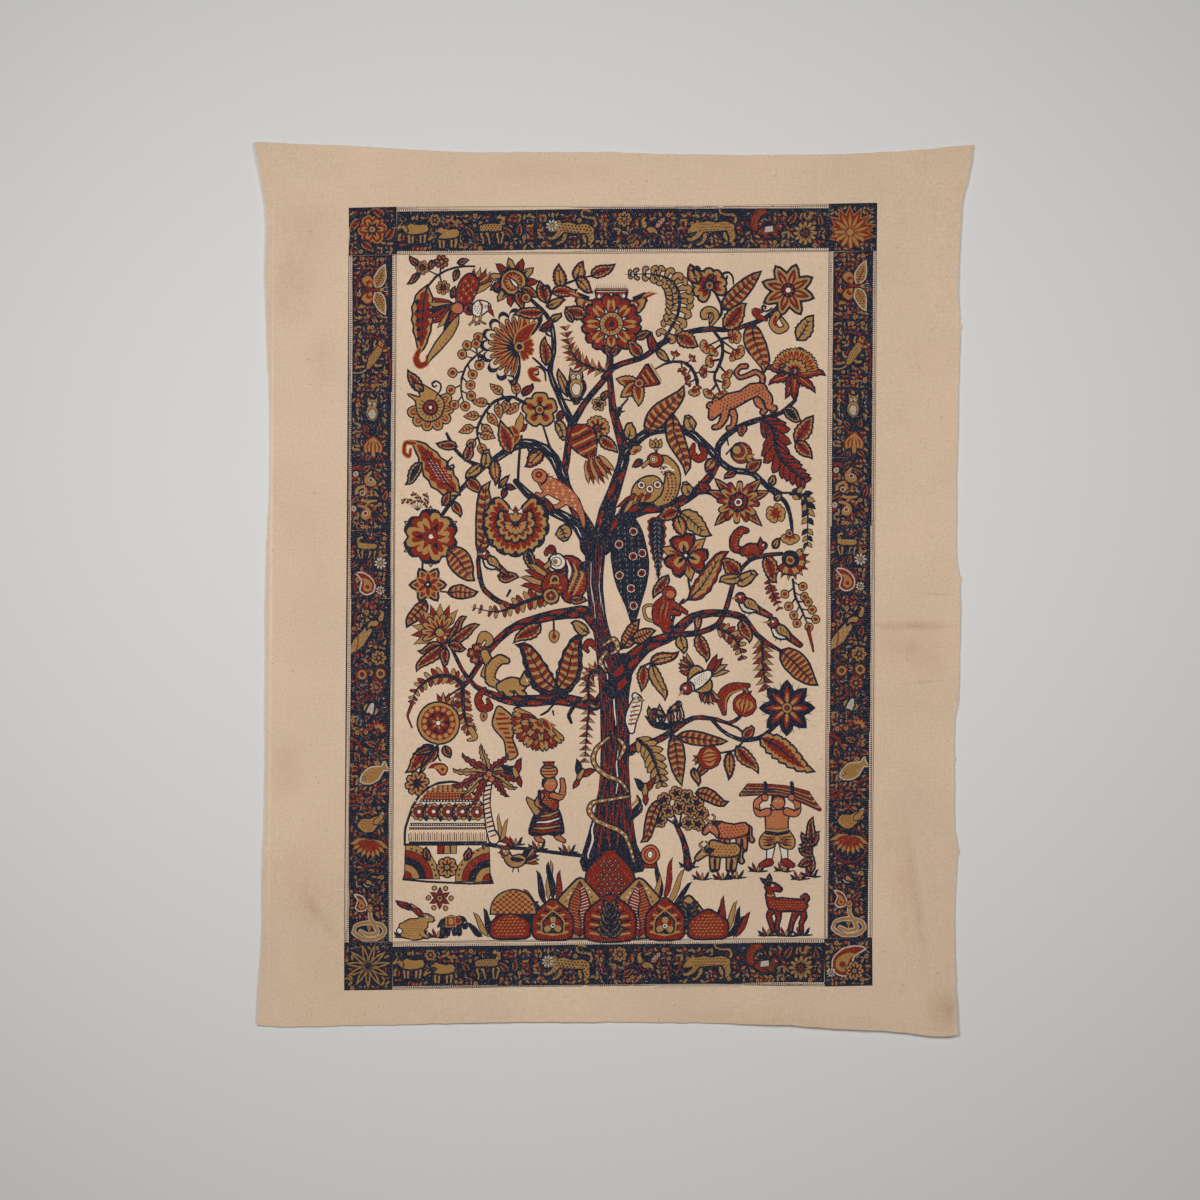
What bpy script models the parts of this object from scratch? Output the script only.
"""A printed and painted cotton panel (a kalamkari), hung on a wall: one unhemmed sheet of cloth.

Frame: metres, +Z up. The wall is the plane y = 0 and the cloth faces -Y. The origin is the middle of
the cut top edge, on the wall. The cloth was cut to a rectangle; its held corners are pulled out past
it, its sides draw in between them, and soft folds make it stand a few millimetres off the wall.
"""

import collections
import math

import bmesh
import bpy

# Driving sizes, in metres.
CUT_WIDTH = 1.124
CUT_LENGTH = 1.412
THICKNESS = 0.0014
PULL_REACH = 0.092  # how far into the cloth a pulled edge still drags it
HANG_OFF = 0.0032  # gap from the wall to the middle of the sheet where it hangs closest
COLUMNS = 36
ROWS = 44
MM = 0.001

# How far each edge lies outside the cut rectangle, in millimetres. A side's rows run down from the
# top, and the top and bottom edges' rows run from left to right, seen from the front.
Edge = collections.namedtuple("Edge", "along outside")
LEFT_EDGE = (
    Edge(0, 17.5),
    Edge(51, 6.8),
    Edge(117, -2.0),
    Edge(205, -0.4),
    Edge(450, -8.0),
    Edge(570, -6.1),
    Edge(685, -1.0),
    Edge(1050, 0.8),
    Edge(1170, 4.5),
    Edge(1280, 6.5),
    Edge(1400, 14.9),
    Edge(1412, 14.2),
)
RIGHT_EDGE = (
    Edge(0, 22.4),
    Edge(41, 16.7),
    Edge(93, 5.3),
    Edge(210, -0.4),
    Edge(290, 1.9),
    Edge(467, -2.0),
    Edge(649, -3.6),
    Edge(700, 1.9),
    Edge(885, -0.4),
    Edge(925, -6.2),
    Edge(1094, -6.2),
    Edge(1121, -2.0),
    Edge(1211, -6.2),
    Edge(1331, -6.2),
    Edge(1412, -2.0),
)
TOP_EDGE = (
    Edge(0, 16.2),
    Edge(162, 9.7),
    Edge(298, 1.6),
    Edge(541, 0.6),
    Edge(698, -3.2),
    Edge(871, -3.2),
    Edge(997, 0.6),
    Edge(1124, 11.4),
)
BOTTOM_EDGE = (
    Edge(0, 3.4),
    Edge(37, 5.7),
    Edge(229, 1.8),
    Edge(360, -1.4),
    Edge(551, -2.2),
    Edge(831, 1.8),
    Edge(889, 5.7),
    Edge(1030, 14.0),
    Edge(1097, 20.8),
    Edge(1124, 18.1),
)

# Soft folds, in millimetres from the origin: where each ridge starts and ends, how far it reaches to
# either side, and how far it stands out. A negative height is a trough.
Fold = collections.namedtuple("Fold", "start_x start_z end_x end_z reach height")
FOLDS = (
    Fold(-560, 0, -400, -95, 38, 3.5),  # from the top left corner, inwards
    Fold(-560, -10, -530, -260, 30, 2.6),  # from the top left corner, down the side
    Fold(560, 0, 440, -90, 36, 3.2),  # from the top right corner, inwards
    Fold(560, -20, 520, -280, 32, 2.4),  # from the top right corner, down the side
    Fold(465, -1020, 520, -1370, 36, 5.0),  # down the right margin
    Fold(-545, -1140, -420, -1300, 34, 3.0),  # across the bottom left corner
    Fold(420, -768, 565, -764, 30, 1.6),  # an old crease across the right margin
    Fold(270, -1425, 540, -1440, 70, 6.5),  # the bottom edge lifting off the wall
    Fold(-260, -1400, -60, -1400, 60, 2.2),  # the bottom edge, left of its middle
    Fold(-330, -200, -300, -1150, 130, 2.4),  # long shallow waves down the cloth
    Fold(60, -120, 30, -1250, 120, 2.0),
    Fold(330, -250, 300, -1000, 110, -1.6),
)


def reading(rows, along):
    """The edge's offset at a distance along it, on one smooth curve through the rows."""
    index = 0
    while index < len(rows) - 2 and rows[index + 1].along < along:
        index += 1
    low, high = rows[index], rows[index + 1]
    span = high.along - low.along
    part = min(max((along - low.along) / span, 0.0), 1.0)

    def slope(at):
        before, after = rows[max(at - 1, 0)], rows[min(at + 1, len(rows) - 1)]
        return (after.outside - before.outside) / (after.along - before.along)

    start, end = slope(index) * span, slope(index + 1) * span
    square, cube = part * part, part * part * part
    return (
        (2 * cube - 3 * square + 1) * low.outside
        + (cube - 2 * square + part) * start
        + (3 * square - 2 * cube) * high.outside
        + (cube - square) * end
    )


def drag(distance):
    """The share of an edge's pull that is left at a distance in from it."""
    return math.exp(-distance / PULL_REACH)


def hung(x, z):
    """Where a point of the cut rectangle comes to lie on the wall."""
    from_left, from_right = x + CUT_WIDTH / 2, CUT_WIDTH / 2 - x
    from_top, from_bottom = -z, CUT_LENGTH + z
    x += MM * drag(from_right) * reading(RIGHT_EDGE, from_top / MM)
    x -= MM * drag(from_left) * reading(LEFT_EDGE, from_top / MM)
    z += MM * drag(from_top) * reading(TOP_EDGE, from_left / MM)
    z -= MM * drag(from_bottom) * reading(BOTTOM_EDGE, from_left / MM)
    return x, z


def ridge(fold, x, z):
    """A fold's height at a point: a rounded ridge across, fading out past both ends."""
    run_x, run_z = fold.end_x - fold.start_x, fold.end_z - fold.start_z
    length = math.hypot(run_x, run_z)
    off_x, off_z = x / MM - fold.start_x, z / MM - fold.start_z
    along = (off_x * run_x + off_z * run_z) / length
    across = (off_x * run_z - off_z * run_x) / length
    past_end = max(-along, along - length, 0.0)
    return fold.height * MM * math.exp(-((across / fold.reach) ** 2) - (past_end / fold.reach) ** 2)


def build_cloth():
    mesh = bpy.data.meshes.new("printed_cloth")
    cloth = bpy.data.objects.new("printed_cloth", mesh)
    bpy.context.scene.collection.objects.link(cloth)

    sheet = bmesh.new()
    bmesh.ops.create_grid(sheet, x_segments=COLUMNS, y_segments=ROWS, size=0.5)
    for point in sheet.verts:
        x, z = point.co.x * CUT_WIDTH, (point.co.y - 0.5) * CUT_LENGTH
        x, z = hung(x, z)
        stand = HANG_OFF + sum(ridge(fold, x, z) for fold in FOLDS)
        point.co = (x, -stand, z)
    bmesh.ops.recalc_face_normals(sheet, faces=sheet.faces)
    sheet.to_mesh(mesh)
    sheet.free()

    wall = cloth.modifiers.new("thickness", "SOLIDIFY")
    wall.thickness = THICKNESS
    wall.offset = 0.0
    mesh.shade_smooth()

    cotton = bpy.data.materials.new("undyed_cotton")
    cotton.use_nodes = True
    surface = cotton.node_tree.nodes["Principled BSDF"]
    surface.inputs["Base Color"].default_value = (0.60, 0.45, 0.33, 1.0)
    surface.inputs["Roughness"].default_value = 0.9
    surface.inputs["Metallic"].default_value = 0.0
    mesh.materials.append(cotton)
    return cloth


for leftover in list(bpy.data.objects):
    bpy.data.objects.remove(leftover, do_unlink=True)

build_cloth()
